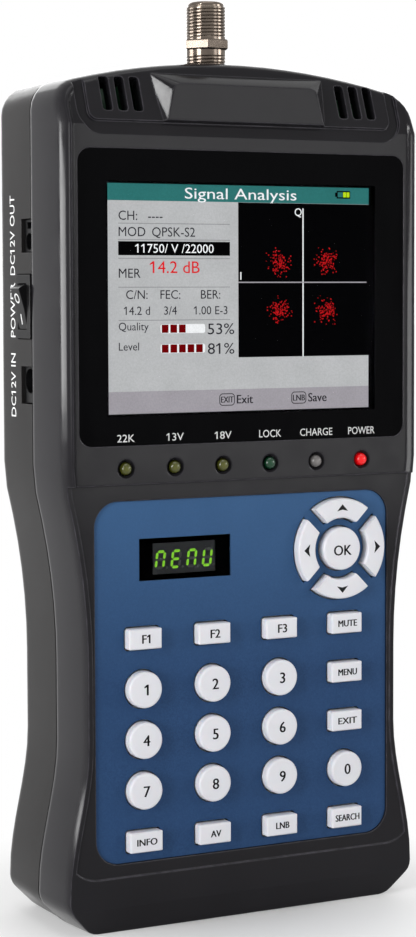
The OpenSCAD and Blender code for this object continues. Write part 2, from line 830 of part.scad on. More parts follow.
// Power jack: a nose that fills the side notch, a body on the main board, and a bore for the plug
module jack(span, bore_d, z, deep_y) {
  low_y = main_board_y + board_t;
  low_z = span[0] + play;
  high_z = span[1] - play;
  nose_x = jack_face_x + wall + 1.2;
  difference() {
    union() {
      block([jack_face_x, parting_y + play, low_z], [nose_x, deep_y - play, high_z]);
      block([nose_x, low_y, low_z], [jack_face_x + jack_body_l, deep_y + 1.2, high_z]);
    }
    bar_x(jack_y, z, bore_d / 2, jack_face_x - 1, jack_face_x + jack_deep);
  }
}

module jack_pin(z, pin_d) {
  bar_x(jack_y, z, pin_d / 2, jack_face_x + 3, jack_face_x + jack_deep);
}

module dc_in_jack() {
  color([0.07, 0.07, 0.08]) jack(dc_in_notch, dc_in_d, dc_in_z, jack_y + dc_in_d / 2 + 0.3);
}

module dc_in_pin() {
  color("silver") jack_pin(dc_in_z, dc_in_pin_d);
}

module dc_out_jack() {
  color([0.07, 0.07, 0.08]) difference() {
    jack(dc_out_notch, dc_out_d, dc_out_z, jack_y + dc_out_d / 2 + 0.5);
    block([jack_face_x - 1, jack_y - 1.2, dc_out_z + 3], [jack_face_x + 1.6, jack_y + 1.2, dc_out_z + 4.5]);
  }
}

module dc_out_pin() {
  color("silver") jack_pin(dc_out_z, dc_out_pin_d);
}

// Rocker switch: bezel and body with a round trough for the rocker
module switch_housing() {
  half_l = switch_l / 2 - play;
  half_w = switch_w / 2 - play;
  trough_half = rocker_w / 2 + play;
  bore_half = rocker_w / 2 + pivot_reach + 0.1;
  color([0.1, 0.1, 0.11]) difference() {
    block([switch_x, switch_y - half_w, switch_z - half_l],
          [switch_x + switch_depth, switch_y + half_w, switch_z + half_l]);
    bar_y(pivot_x, switch_z, rocker_r + play, rocker_y - trough_half, rocker_y + trough_half);
    bar_y(pivot_x, switch_z, pivot_r + 0.05, rocker_y - bore_half, rocker_y + bore_half);
  }
}

module switch_rocker() {
  crown = 2.4;
  dip = 2.1;
  color([0.08, 0.08, 0.08]) translate([pivot_x, rocker_y, switch_z]) rotate([0, -rocker_tilt, 0]) {
    translate([0, rocker_w / 2, 0]) rotate([90, 0, 0]) linear_extrude(rocker_w) intersection() {
      circle(rocker_r);
      polygon([[-crown, -rocker_r], [-dip, 0], [-crown, rocker_r], [2, rocker_r], [3.4, 0], [2, -rocker_r]]);
    }
    bar_y(0, 0, pivot_r, -rocker_w / 2 - pivot_reach, rocker_w / 2 + pivot_reach);
  }
}

module battery_pack() {
  r = cell_d / 2;
  color([0.15, 0.3, 0.55]) translate([0, bay_y + r + 0.1, bay_z - cell_l / 2]) {
    for (i = [-1:1]) translate([i * cell_d, 0, 0]) cylinder(r = r, h = cell_l);
    translate([-cell_d, -r * 0.8, 0]) cube([2 * cell_d, 2 * r * 0.8, cell_l]);
  }
}

module battery_door() {
  color([0.2, 0.2, 0.2]) difference() {
    slab(door_y, back_y) translate([0, bay_z]) rounded(door_w - 2 * play, door_h - 2 * play, 4 - play);
    for (x = door_screw_xs) {
      bar_y(x, door_screw_z, door_screw_d / 2 + play, door_y - 1, back_y + 1);
      bar_y(x, door_screw_z, door_head_d / 2 + 0.2, back_y - 1, back_y + 1);
    }
    for (i = [0:4]) let (z = bay_z - door_h / 2 + 8 + 2.4 * i)
      block([-12, back_y - 0.6, z], [12, back_y + 1, z + 1.2]);
  }
}

// Cross recess in a screw's head, cut in from the back
module cross_recess(x, z, y, arm, depth) {
  for (a = [0, 90]) translate([x, y, z]) rotate([0, a, 0]) cube([arm, 2 * depth, arm / 4], center = true);
}

module door_screws() {
  color("silver") for (x = door_screw_xs) difference() {
    union() {
      bar_y(x, door_screw_z, door_screw_d / 2, door_y - door_screw_l, back_y - 0.8);
      bar_y(x, door_screw_z, door_head_d / 2, back_y - 1, back_y - 0.1);
    }
    cross_recess(x, door_screw_z, back_y - 0.1, door_head_d * 0.6, 0.6);
  }
}

module case_screws() {
  color("silver") for (p = boss_places) difference() {
    union() {
      bar_y(p[0], p[1], screw_d / 2, screw_end_y, screw_seat_y + 0.5);
      bar_y(p[0], p[1], screw_d, screw_seat_y, screw_seat_y + screw_head_t);
    }
    cross_recess(p[0], p[1], screw_seat_y + screw_head_t, 1.2 * screw_d, 1);
  }
}

olive = [0.4, 0.42, 0.12];
front_shell();
rear_shell();
display_window();
lcd_module();
keypad_overlay();
segment_window();
segment_display();
lamp(0, olive);  // lamp_1
lamp(1, olive);  // lamp_2
lamp(2, olive);  // lamp_3
lamp(3, [0.05, 0.25, 0.12]);  // lamp_4
lamp(4, [0.45, 0.44, 0.43]);  // lamp_5
lamp(5, [0.85, 0.05, 0.08]);  // lamp_6
for (name = key_names) key(name);
keypad_mat();
keypad_board();
board_screws();
main_board();
tuner_can();
buzzer();
f_connector();
f_insulator();
f_contact();
dc_in_jack();
dc_in_pin();
dc_out_jack();
dc_out_pin();
switch_housing();
switch_rocker();
battery_pack();
battery_door();
door_screws();
case_screws();
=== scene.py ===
"""Satellite signal meter: its looks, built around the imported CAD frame.

The frame is in metres, +Z up, front at -Y. Shapes here are drawn in millimetres and scaled once, in piece().
"""
import json
import math
import random

import bmesh
import bpy
from mathutils import Matrix, Vector
from mathutils.bvhtree import BVHTree


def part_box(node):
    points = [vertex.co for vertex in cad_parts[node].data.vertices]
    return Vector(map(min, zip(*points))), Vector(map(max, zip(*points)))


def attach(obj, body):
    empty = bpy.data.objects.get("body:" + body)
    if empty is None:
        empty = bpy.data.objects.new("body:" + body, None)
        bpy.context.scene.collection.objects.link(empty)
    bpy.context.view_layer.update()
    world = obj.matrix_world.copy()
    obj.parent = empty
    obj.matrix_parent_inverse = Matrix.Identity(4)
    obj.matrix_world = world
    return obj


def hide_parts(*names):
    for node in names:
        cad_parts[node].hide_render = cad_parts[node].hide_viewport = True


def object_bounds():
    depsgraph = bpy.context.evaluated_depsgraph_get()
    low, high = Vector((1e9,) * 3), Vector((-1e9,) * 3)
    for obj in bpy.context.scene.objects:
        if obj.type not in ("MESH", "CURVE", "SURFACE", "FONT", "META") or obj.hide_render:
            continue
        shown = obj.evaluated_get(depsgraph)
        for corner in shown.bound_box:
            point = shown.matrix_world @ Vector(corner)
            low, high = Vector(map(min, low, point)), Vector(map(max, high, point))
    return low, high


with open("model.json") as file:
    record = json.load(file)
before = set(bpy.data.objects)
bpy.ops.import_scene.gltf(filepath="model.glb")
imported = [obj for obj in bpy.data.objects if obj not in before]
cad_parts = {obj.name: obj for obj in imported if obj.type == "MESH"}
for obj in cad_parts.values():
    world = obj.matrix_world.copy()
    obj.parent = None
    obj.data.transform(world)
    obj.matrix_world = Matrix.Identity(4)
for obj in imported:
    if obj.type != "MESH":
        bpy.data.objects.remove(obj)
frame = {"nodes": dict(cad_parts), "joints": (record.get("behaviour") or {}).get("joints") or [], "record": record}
CAD_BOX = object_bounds()
RECORD = frame["record"]
SLOT_OF = {part["node"]: part["material_slot"] for part in RECORD["subparts"]}
HOUSING = "housing"
MM = 0.001
# Thickness of a layer of print, and the gap between a pane and its frame
INK = 0.02
SKIN = 0.01


# Colours and node helpers

def srgb(red, green, blue):
    """A colour written in display values, 0 to 255, as Blender's linear colour."""
    def linear(value):
        share = value / 255
        return share / 12.92 if share <= 0.04045 else ((share + 0.055) / 1.055) ** 2.4
    return (linear(red), linear(green), linear(blue), 1.0)


def scaled(colour, factor):
    """The same hue, lighter or darker."""
    return tuple(min(1.0, part * factor) for part in colour[:3]) + (1.0,)


def new_material(name, **sockets):
    """A material, its node tree and its shader, with the shader's plain values set on their own sockets."""
    made = bpy.data.materials.new(name)
    made.use_nodes = True
    shader = made.node_tree.nodes["Principled BSDF"]
    for socket, value in sockets.items():
        shader.inputs[socket.replace("_", " ").title().replace("Ior", "IOR")].default_value = value
    return made, made.node_tree, shader


def place(tree, kind="Object"):
    """Texture coordinates fixed to the piece."""
    return tree.nodes.new("ShaderNodeTexCoord").outputs[kind]


def noise(tree, where, size_mm, detail=2.0, stretch=(1, 1, 1)):
    """Noise with features of about that size."""
    mapping = tree.nodes.new("ShaderNodeMapping")
    mapping.inputs["Scale"].default_value = stretch
    tree.links.new(where, mapping.inputs["Vector"])
    made = tree.nodes.new("ShaderNodeTexNoise")
    made.inputs["Scale"].default_value = 1 / (size_mm * MM)
    made.inputs["Detail"].default_value = detail
    tree.links.new(mapping.outputs["Vector"], made.inputs["Vector"])
    return made.outputs[0]


def ramp(tree, value, low, high):
    """A colour ramp over value. Either end is a position and a colour, or a grey level."""
    made = tree.nodes.new("ShaderNodeValToRGB")
    for element, (position, colour) in zip(made.color_ramp.elements, (low, high)):
        element.position = position
        element.color = colour if hasattr(colour, "__len__") else (colour, colour, colour, 1.0)
    tree.links.new(value, made.inputs[0])
    return made.outputs["Color"]


NOISE_LOW = 0.3
NOISE_HIGH = 0.7


def spread(tree, value, low, high):
    """Noise stretched to run from one colour or level to another."""
    return ramp(tree, value, (NOISE_LOW, low), (NOISE_HIGH, high))


def mixed(tree, factor, low, high):
    """Two colours mixed by a factor. Either may be a socket or a plain colour."""
    made = tree.nodes.new("ShaderNodeMixRGB")
    tree.links.new(factor, made.inputs[0])
    for slot, colour in ((1, low), (2, high)):
        if hasattr(colour, "node"):
            tree.links.new(colour, made.inputs[slot])
        else:
            made.inputs[slot].default_value = colour
    return made.outputs[0]


def bump(tree, shader, height, depth_mm, normal=None):
    """Relief of that depth on the shader's normal."""
    made = tree.nodes.new("ShaderNodeBump")
    made.inputs["Distance"].default_value = depth_mm * MM
    tree.links.new(height, made.inputs["Height"])
    if normal:
        tree.links.new(normal, made.inputs["Normal"])
    tree.links.new(made.outputs["Normal"], shader.inputs["Normal"])


BEVEL_SAMPLES = 6
EDGE_BENT = 0.88
EDGE_FLAT = 0.99


def soft_edges(tree, radius_mm):
    """A normal that rounds the edges, and a mask that is 1 on them and 0 on flat ground."""
    bevel = tree.nodes.new("ShaderNodeBevel")
    bevel.samples = BEVEL_SAMPLES
    bevel.inputs["Radius"].default_value = radius_mm * MM
    flat = tree.nodes.new("ShaderNodeNewGeometry")
    alike = tree.nodes.new("ShaderNodeVectorMath")
    alike.operation = "DOT_PRODUCT"
    tree.links.new(bevel.outputs["Normal"], alike.inputs[0])
    tree.links.new(flat.outputs["Normal"], alike.inputs[1])
    return bevel.outputs["Normal"], ramp(tree, alike.outputs["Value"], (EDGE_BENT, 1.0), (EDGE_FLAT, 0.0))


def spherical(tree, where, scale, shift=(0, 0, 0)):
    """A gradient that is 1 at the middle of a ball and 0 on its surface and beyond."""
    mapping = tree.nodes.new("ShaderNodeMapping")
    mapping.inputs["Location"].default_value = shift
    mapping.inputs["Scale"].default_value = scale
    tree.links.new(where, mapping.inputs["Vector"])
    ball = tree.nodes.new("ShaderNodeTexGradient")
    ball.gradient_type = "SPHERICAL"
    tree.links.new(mapping.outputs["Vector"], ball.inputs["Vector"])
    return ball.outputs[1]


# Materials

def moulded(name, colour, roughness, grain_mm, depth_mm, edge_mm=0.25, wear_and_highlight=1.5, drift=0.1, **sockets):
    """Moulded plastic: tool grain, uneven sheen, slow drift of colour, and edges painted paler, partly as wear and
    partly as a painted highlight.
    """
    made, tree, shader = new_material(name, **sockets)
    where = place(tree)
    normal, edges = soft_edges(tree, edge_mm)
    slow = noise(tree, where, 22, detail=3)
    base = spread(tree, slow, scaled(colour, 1 - drift), scaled(colour, 1 + drift))
    # Painted highlight and wear: the edges, broken up by a patchy noise, are painted paler by the edge factor.
    patchy_wear_and_highlight = ramp(tree, noise(tree, where, 3, detail=3), (0.35, 0.35), (0.7, 1.0))
    edge_wear_and_highlight = mixed(tree, patchy_wear_and_highlight, (0, 0, 0, 1), edges)
    tree.links.new(mixed(tree, edge_wear_and_highlight, base, scaled(colour, wear_and_highlight)), shader.inputs["Base Color"])
    sheen = spread(tree, noise(tree, where, 6, detail=4), roughness - 0.05, roughness + 0.05)
    tree.links.new(sheen, shader.inputs["Roughness"])
    bump(tree, shader, noise(tree, where, grain_mm, detail=3), depth_mm, normal)
    return made


def printed_film(name, upper, lower, low_z, high_z):
    """The keypad's printed film, with painted light: paler towards the top and darker towards the bottom, as if
    lit from above; with a faint print screen and satin grain.
    """
    made, tree, shader = new_material(name, specular_ior_level=0.1)
    where = place(tree)
    split = tree.nodes.new("ShaderNodeSeparateXYZ")
    tree.links.new(where, split.inputs[0])
    height = tree.nodes.new("ShaderNodeMapRange")
    height.inputs["From Min"].default_value = low_z
    height.inputs["From Max"].default_value = high_z
    tree.links.new(split.outputs["Z"], height.inputs["Value"])
    # Painted light: the blue runs from the darker lower colour at the bottom to the paler upper colour at the top.
    fade = ramp(tree, height.outputs[0], (0.5, lower), (1.0, upper))
    speck = ramp(tree, noise(tree, where, 0.35), (0.35, 0.0), (0.75, 0.16))
    cloud = ramp(tree, noise(tree, where, 14, detail=3), (0.3, 0.0), (0.75, 0.14))
    shaded = mixed(tree, cloud, fade, scaled(lower, 0.7))
    tree.links.new(mixed(tree, speck, shaded, scaled(upper, 1.35)), shader.inputs["Base Color"])
    sheen = spread(tree, noise(tree, where, 5, detail=3), 0.38, 0.48)
    tree.links.new(sheen, shader.inputs["Roughness"])
    bump(tree, shader, noise(tree, where, 0.3), 0.008)
    return made


def metal(name, colour, roughness, brush_mm, stretch, tarnish):
    """Plated or drawn metal: fine tool lines, cloudy dulling, and edges painted brighter as a painted highlight.
    """
    made, tree, shader = new_material(name, metallic=1.0)
    where = place(tree)
    lines = noise(tree, where, brush_mm, detail=3, stretch=stretch)
    clouds = noise(tree, where, 2.5, detail=4)
    normal, edges = soft_edges(tree, 0.12)
    base = spread(tree, clouds, scaled(colour, 1 - tarnish), colour)
    # Painted highlight: the edges are painted brighter than the rest of the metal.
    tree.links.new(mixed(tree, edges, base, scaled(colour, 1.12)), shader.inputs["Base Color"])
    sheen = spread(tree, lines, roughness - 0.06, roughness + 0.08)
    tree.links.new(sheen, shader.inputs["Roughness"])
    bump(tree, shader, lines, 0.004, normal)
    return made


def clear_plastic(name, colour):
    """Clear or smoked pane, with faint waves and haze; its low index keeps the pale backdrop out of it."""
    made, tree, shader = new_material(name, transmission_weight=1.0, ior=1.005)
    where = place(tree)
    tint = spread(tree, noise(tree, where, 8), scaled(colour, 0.94), colour)
    tree.links.new(tint, shader.inputs["Base Color"])
    haze = ramp(tree, noise(tree, where, 1.2, detail=4), (0.45, 0.01), (0.8, 0.025))
    tree.links.new(haze, shader.inputs["Roughness"])
    return made


def black_print(name, colour):
    """Black print behind a window: next to no sheen, so the backdrop stays out of it, and faint smears."""
    made, tree, shader = new_material(name, specular_ior_level=0.01)
    where = place(tree)
    base = spread(tree, noise(tree, where, 16, detail=3), colour, scaled(colour, 1.5))
    tree.links.new(base, shader.inputs["Base Color"])
    smear = noise(tree, where, 4, detail=5, stretch=(1, 1, 0.4))
    tree.links.new(ramp(tree, smear, (0.4, 0.1), (0.75, 0.2)), shader.inputs["Roughness"])
    bump(tree, shader, noise(tree, where, 9, detail=1), 0.004)
    return made


def glow(name, colour, strength=1.0, cell_mm=0.35, depth=0.06):
    """A lit part of a display: its own light, with a fine cell pattern and slight unevenness."""
    made, tree, shader = new_material(
        name, roughness=0.4, specular_ior_level=0.0, emission_strength=strength,
        base_color=scaled(colour, 0.05))
    where = place(tree)
    cells = noise(tree, where, cell_mm, detail=1)
    lit = spread(tree, cells, scaled(colour, 1 - depth), scaled(colour, 1 + depth))
    uneven = ramp(tree, noise(tree, where, 18), (0.3, 0.0), (0.8, 0.1))
    tree.links.new(mixed(tree, uneven, lit, scaled(colour, 0.9)), shader.inputs["Emission Color"])
    return made


def paint(name, colour, roughness=0.5):
    """Pad-printed ink: dense, with thinner spots and a dry sheen."""
    made, tree, shader = new_material(name, specular_ior_level=0.15)
    thin = noise(tree, place(tree), 0.5, detail=3)
    base = ramp(tree, thin, (0.25, scaled(colour, 0.82)), (0.55, colour))
    tree.links.new(base, shader.inputs["Base Color"])
    tree.links.new(spread(tree, thin, roughness + 0.1, roughness), shader.inputs["Roughness"])
    return made


LENS_SCALE = (2.0, 0.7, 2.0)
LENS_SHIFT = (-1.0, -0.35, -1.0)


def lens(name, shaded_rim, lit_core, lit=0.0):
    """A lamp's tinted epoxy lens, painted darker at its edge and paler in its middle as painted shade and light,
    glossy with moulding flow lines.
    """
    made, tree, shader = new_material(
        name, specular_ior_level=0.2, coat_weight=0.4, coat_roughness=0.03, emission_strength=lit)
    ball = spherical(tree, place(tree, "Generated"), LENS_SCALE, LENS_SHIFT)
    # Painted shade and light: the dome is painted darker towards its edge and paler towards its middle.
    colour = ramp(tree, ball, (0.05, shaded_rim), (0.65, lit_core))
    tree.links.new(colour, shader.inputs["Base Color"])
    if lit:
        tree.links.new(colour, shader.inputs["Emission Color"])
    flow = noise(tree, place(tree), 0.8, detail=3)
    tree.links.new(spread(tree, flow, 0.1, 0.2), shader.inputs["Roughness"])
    return made


TRACK_MM = 3.2


def circuit_board(name, colour):
    """Solder mask over copper: tracks as a faint cell pattern, with satin gloss."""
    made, tree, shader = new_material(name)
    where = place(tree)
    cells = tree.nodes.new("ShaderNodeTexVoronoi")
    cells.distance = "MANHATTAN"
    cells.inputs["Scale"].default_value = 1 / (TRACK_MM * MM)
    tree.links.new(where, cells.inputs["Vector"])
    tracks = ramp(tree, cells.outputs["Distance"], (0.3, scaled(colour, 0.8)), (0.42, scaled(colour, 1.5)))
    tree.links.new(tracks, shader.inputs["Base Color"])
    sheen = spread(tree, noise(tree, where, 2, detail=3), 0.3, 0.45)
    tree.links.new(sheen, shader.inputs["Roughness"])
    bump(tree, shader, cells.outputs["Distance"], 0.02)
    return made


overlay_low, overlay_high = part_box("keypad_overlay")
FINISH = {
    # The front case's edges are painted far paler than wear would make them: mostly a painted highlight.
    "front_case": moulded("front_case", srgb(29, 28, 31), roughness=0.13, grain_mm=0.28, depth_mm=0.003,
                          edge_mm=0.5, wear_and_highlight=6.5, specular_ior_level=0.12),
    "rear_case": moulded("rear_case", srgb(35, 34, 34), roughness=0.22, grain_mm=0.4, depth_mm=0.01,
                         edge_mm=0.35, wear_and_highlight=1.6, specular_ior_level=0.07),
    "window": clear_plastic("window", srgb(246, 248, 250)),
    "screen": black_print("screen_frame", srgb(5, 5, 6)),
    # The overlay's upper and lower colours are painted light from above, not two tones of the film.
    "overlay": printed_film("overlay", upper=srgb(56, 91, 132), lower=srgb(37, 65, 103),
                            low_z=overlay_low.z, high_z=overlay_high.z),
    "smoke": clear_plastic("smoke", srgb(170, 172, 174)),
    # Each lens's darker edge colour and paler middle colour paint shade and light on its dome.
    "lamp_olive": lens("lamp_olive", shaded_rim=srgb(30, 32, 5), lit_core=srgb(84, 86, 24)),
    "lamp_green": lens("lamp_green", shaded_rim=srgb(2, 30, 16), lit_core=srgb(10, 66, 38)),
    "lamp_clear": lens("lamp_clear", shaded_rim=srgb(66, 64, 64), lit_core=srgb(122, 118, 117)),
    "lamp_red": lens("lamp_red", shaded_rim=srgb(160, 2, 8), lit_core=srgb(226, 10, 16), lit=0.45),
    "keys": moulded("keys", srgb(222, 222, 227), roughness=0.36, grain_mm=0.5, depth_mm=0.004, edge_mm=0.2,
                    wear_and_highlight=1.05, drift=0.02, subsurface_weight=0.08, subsurface_scale=0.0008),
    "mat": moulded("mat", srgb(120, 122, 126), roughness=0.7, grain_mm=0.6, depth_mm=0.01),
    "board": circuit_board("board", srgb(24, 78, 46)),
    "can": metal("can", srgb(196, 197, 200), roughness=0.32, brush_mm=0.3, stretch=(1, 1, 0.15),
                 tarnish=0.15),
    "black_plastic": moulded("black_plastic", srgb(17, 17, 18), roughness=0.35, grain_mm=0.5, depth_mm=0.006,
                             specular_ior_level=0.12),
    "switch_plastic": moulded("switch_plastic", srgb(20, 20, 21), roughness=0.2, grain_mm=0.4, depth_mm=0.005,
                              edge_mm=0.3, wear_and_highlight=2.0, specular_ior_level=0.12),
    "nickel": metal("nickel", srgb(112, 102, 93), roughness=0.12, brush_mm=0.12, stretch=(1, 1, 6),
                    tarnish=0.3),
    "white_plastic": moulded("white_plastic", srgb(232, 231, 226), roughness=0.45, grain_mm=0.4,
                             depth_mm=0.006),
    "gilt": metal("gilt", srgb(214, 176, 96), roughness=0.25, brush_mm=0.1, stretch=(1, 1, 4), tarnish=0.2),
    "steel": metal("steel", srgb(176, 177, 180), roughness=0.3, brush_mm=0.15, stretch=(1, 1, 1),
                   tarnish=0.3),
    "battery": moulded("battery", srgb(40, 76, 138), roughness=0.35, grain_mm=1.5, depth_mm=0.02,
                       edge_mm=0.3),
}
WHITE_INK = paint("white_ink", srgb(222, 222, 222))
BLACK_INK = paint("black_ink", srgb(13, 13, 15), roughness=0.4)
WINDOW_BLACK = black_print("window_black", srgb(3, 3, 4))


# Shading of the CAD nodes

SMOOTH_ANGLE = math.radians(32)
SHELL_ANGLE = math.radians(16)
BARREL_ANGLE = math.radians(50)
WELD_MM = 0.002


def smooth(obj, angle):
    """Smooth shading up to the crease angle."""
    obj.data.shade_smooth()
    crease = obj.modifiers.new("crease", "EDGE_SPLIT")
    crease.split_angle = angle
    return obj


def dress_nodes():
    """Every CAD node gets its slot's material, and smooth shading up to the crease angle."""
    for name, obj in frame["nodes"].items():
        obj.data.materials.clear()
        obj.data.materials.append(FINISH[SLOT_OF[name]])
        weld = obj.modifiers.new("weld", "WELD")
        weld.merge_threshold = WELD_MM * MM
        smooth(obj, SHELL_ANGLE if name.endswith("_shell") else SMOOTH_ANGLE)


# Shapes

def box_mm(name):
    """A CAD node's box, in millimetres."""
    low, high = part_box(name)
    return low / MM, high / MM


def middle(name):
    """The middle of a CAD node's box, in millimetres."""
    low, high = box_mm(name)
    return (low + high) / 2


def piece(name, mesh, materials, body):
    """A finished piece from a bmesh drawn in millimetres. It rides on a body."""
    bmesh.ops.recalc_face_normals(mesh, faces=mesh.faces)
    mesh.transform(Matrix.Scale(MM, 4))
    data = bpy.data.meshes.new(name)
    mesh.to_mesh(data)
    mesh.free()
    for material in materials:
        data.materials.append(material)
    obj = bpy.data.objects.new(name, data)
    bpy.context.scene.collection.objects.link(obj)
    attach(obj, body)
    return obj


def on_front(x, y, z):
    """Places a flat drawing on a face that looks at -Y: its X stays X and its Y becomes Z."""
    return Matrix.Translation((x, y, z)) @ Matrix.Rotation(math.pi / 2, 4, "X")


# Turns a flat drawing to a face that looks at -X, reading upward
READING_UP = Matrix(((0, 0, -1, 0), (0, 1, 0, 0), (1, 0, 0, 0), (0, 0, 0, 1)))


def prism(mesh, outline, matrix, thick, material=0):
    """A flat closed plate: the outline at height thick, and its back at 0."""
    rings = [[mesh.verts.new(matrix @ Vector((x, y, z))) for x, y in outline] for z in (thick, 0.0)]
    faces = [mesh.faces.new(rings[0]), mesh.faces.new(rings[1][::-1])]
    count = len(outline)
    for i in range(count):
        j = (i + 1) % count
        faces.append(mesh.faces.new((rings[0][j], rings[0][i], rings[1][i], rings[1][j])))
    for face in faces:
        face.material_index = material


def skin(mesh, loops, material=0):
    """Joins loops of as many points each to the next, and the last to the first: a closed ring."""
    rings = [[mesh.verts.new(point) for point in loop] for loop in loops]
    count = len(rings[0])
    for near, far in zip(rings, rings[1:] + rings[:1]):
        for i in range(count):
            j = (i + 1) % count
            mesh.faces.new((near[i], near[j], far[j], far[i])).material_index = material


def frame_plate(mesh, outer, inner, matrix, thick, material=0):
    """A flat closed plate with an opening. Both outlines have as many points."""
    edges = ((outer, thick), (inner, thick), (inner, 0.0), (outer, 0.0))
    skin(mesh, [[matrix @ Vector((x, y, z)) for x, y in outline] for outline, z in edges], material)


def rectangle(x0, x1, y0, y1):
    """The four corners of a rectangle."""
    return [(x0, y0), (x1, y0), (x1, y1), (x0, y1)]


def rounded(x0, x1, y0, y1, radius, steps=6):
    """A rectangle with round corners."""
    corners = [(x1 - radius, y1 - radius, 0), (x0 + radius, y1 - radius, 90),
               (x0 + radius, y0 + radius, 180), (x1 - radius, y0 + radius, 270)]
    points = []
    for x, y, start in corners:
        for i in range(steps + 1):
            angle = math.radians(start + 90 * i / steps)
            points.append((x + radius * math.cos(angle), y + radius * math.sin(angle)))
    return points


# Lettering

CURVE_STEPS = 3
LETTER_HALF = 0.5
# What the font's bare 1 gets at its upper left, from the top of its bar
ONE_FLAG = [(0.01, 0.0), (-0.17, -0.14), (-0.17, -0.22), (0.01, -0.13)]


def letter_mesh(words):
    """Lettering of size 1 in its own plane, as a mesh."""
    curve = bpy.data.curves.new("letters", "FONT")
    curve.body = words
    curve.extrude = LETTER_HALF
    curve.resolution_u = CURVE_STEPS
    text = bpy.data.objects.new("letters", curve)
    bpy.context.scene.collection.objects.link(text)
    bpy.context.view_layer.update()
    shaped = text.evaluated_get(bpy.context.evaluated_depsgraph_get())
    data = bpy.data.meshes.new_from_object(shaped)
    bpy.data.objects.remove(text)
    bpy.data.curves.remove(curve)
    return data


def extent(data, axis):
    """Lowest and highest coordinate of a mesh along an axis."""
    values = [vertex.co[axis] for vertex in data.vertices]
    return min(values), max(values)


def letter_extent(words, axis):
    """Lowest and highest coordinate of lettering of size 1 along an axis."""
    data = letter_mesh(words)
    found = extent(data, axis)
    bpy.data.meshes.remove(data)
    return found


CAP_HEIGHT = letter_extent("H", 1)[1]


def flag_ones(data, words):
    """Gives each 1, which the font draws as a bar, its flag."""
    mesh = bmesh.new()
    mesh.from_mesh(data)
    for number, letter in enumerate(words, 1):
        if letter == "1":
            bar_left, bar_right = letter_extent("1", 0)
            left = letter_extent(words[:number], 0)[1] - (bar_right - bar_left)
            flag = [(left + x, CAP_HEIGHT + y) for x, y in ONE_FLAG]
            prism(mesh, flag, Matrix.Translation((0, 0, -LETTER_HALF)), 2 * LETTER_HALF)
    mesh.to_mesh(data)
    mesh.free()


def write(mesh, words, matrix, height, width=None, align=0.5, material=0, heavy=0.0):
    """Adds lettering to a mesh, with its capitals' mid-height at the matrix's origin.

    Align 0 starts the words there and 0.5 centres them. Heavy lettering is struck twice, that far apart.
    """
    data = letter_mesh(words)
    flag_ones(data, words)
    low, high = extent(data, 0)
    tall = height / CAP_HEIGHT
    wide = width / (high - low) if width else tall
    start = Vector((-low * wide - align * (high - low) * wide, -height / 2, INK / 2))
    fitted = matrix @ Matrix.Translation(start) @ Matrix.Diagonal((wide, tall, INK, 1))
    data.transform(fitted)
    before = len(mesh.faces)
    mesh.from_mesh(data)
    if heavy:
        data.transform(Matrix.Translation(matrix.to_3x3() @ Vector((heavy, 0, 0))))
        mesh.from_mesh(data)
    mesh.faces.ensure_lookup_table()
    for face in mesh.faces[before:]:
        face.material_index = material
    bpy.data.meshes.remove(data)


# Window

# The picture's left, right, lower and upper edge, and how far it is set off sideways
SCREEN = (-34.95, 35.25, 120.9, 173.7)
SCREEN_SHIFT = -0.6
OPENING_SIDE = 1.0
OPENING_END = 0.5
OPENING_R = 0.4
WINDOW_R = 3.1
LAMP_WORDS = ("22K", "13V", "18V", "LOCK", "CHARGE", "POWER")
CAPTION_UP = 7.0
CAPTION_H = 1.72
CAPTION_STEP = 1.5


def window_pieces():
    """Clear pane over the screen and the black printed border round it, flush."""
    low, high = box_mm("display_window")
    back = on_front(0, high.y, 0)
    thick = high.y - low.y
    left, right, bottom, top = SCREEN
    x0 = left + SCREEN_SHIFT - OPENING_SIDE
    x1 = right + SCREEN_SHIFT + OPENING_SIDE
    z0 = bottom - OPENING_END
    z1 = top + OPENING_END
    mesh = bmesh.new()
    outer = rounded(low.x, high.x, low.z, high.z, WINDOW_R)
    frame_plate(mesh, outer, rounded(x0, x1, z0, z1, OPENING_R), back, thick)
    border = piece("window_border", mesh, [WINDOW_BLACK], HOUSING)
    mesh = bmesh.new()
    prism(mesh, rounded(x0 + SKIN, x1 - SKIN, z0 + SKIN, z1 - SKIN, OPENING_R), back, thick)
    pane = piece("window_pane", mesh, [FINISH["window"]], HOUSING)
    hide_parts("display_window")
    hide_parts("display_window")


def lamp_captions():
    """White captions over the six lamps, on the window's border."""
    face = box_mm("display_window")[0].y
    mesh = bmesh.new()
    for number, words in enumerate(LAMP_WORDS, 1):
        lamp = middle(f"lamp_{number}")
        spot = on_front(lamp.x, face, lamp.z + CAPTION_UP)
        write(mesh, words, spot, CAPTION_H, len(words) * CAPTION_STEP)
    piece("lamp_captions", mesh, [WHITE_INK], HOUSING)


# Screen

SCREEN_INKS = {
    "grey": glow("screen_grey", srgb(188, 188, 188)),
    "teal": glow("screen_teal", srgb(48, 115, 112)),
    "black": glow("screen_black", srgb(5, 5, 6)),
    "violet": glow("screen_violet", srgb(163, 158, 163)),
    "line": glow("screen_line", srgb(150, 150, 150)),
    "white": glow("screen_white", srgb(245, 245, 245)),
    "text": glow("screen_text", srgb(46, 44, 50)),
    "maroon": glow("screen_maroon", srgb(110, 4, 8)),
    "red": glow("screen_red", srgb(226, 28, 36)),
    "dot": glow("screen_dot", srgb(196, 24, 28)),
    "lime": glow("screen_lime", srgb(190, 225, 30)),
}
INK_INDEX = {name: index for index, name in enumerate(SCREEN_INKS)}
SCREEN_LEFT, SCREEN_RIGHT, SCREEN_LOW, SCREEN_HIGH = SCREEN
SCREEN_FACE = box_mm("lcd_module")[0].y
HEADER_Z = 169.8
FOOTER_Z = 126.05
RULE_LEFT = -32.3
RULE_RIGHT = -3.1
RULE_HALF = 0.1
